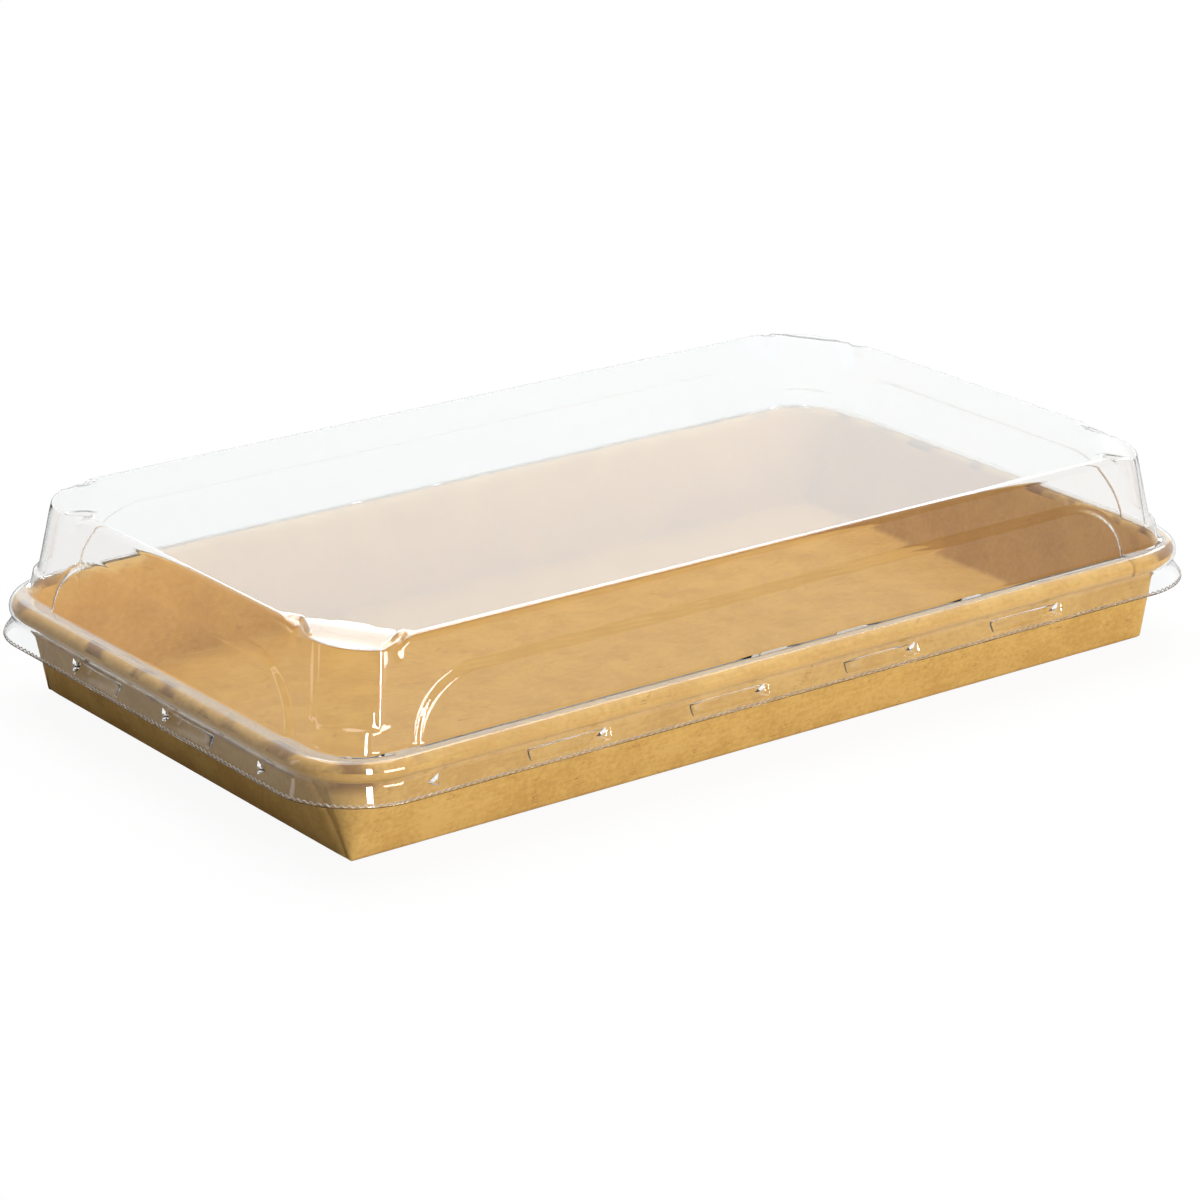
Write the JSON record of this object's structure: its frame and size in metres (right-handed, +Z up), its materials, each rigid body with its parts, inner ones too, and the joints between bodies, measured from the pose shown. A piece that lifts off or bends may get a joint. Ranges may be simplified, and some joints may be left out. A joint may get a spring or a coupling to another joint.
{
  "type": "takeaway sushi tray",
  "caption": "Rectangular kraft board food tray with curled rim, closed by a clear press-on lid with cut corners, raised arches and a flared skirt.",
  "frame": {"origin": "centre of the tray's footprint, on the surface that the tray stands on", "axes": "+X along the long side, +Y along the short side, +Z up through the lid"},
  "size_m": [0.258, 0.1538, 0.0496],
  "materials": {
    "kraft_board": "matte",
    "clear_sheet": "polished"
  },
  "bodies": {
    "root": {"tray": "kraft_board", "lid": "clear_sheet"}
  },
  "joints": []
}
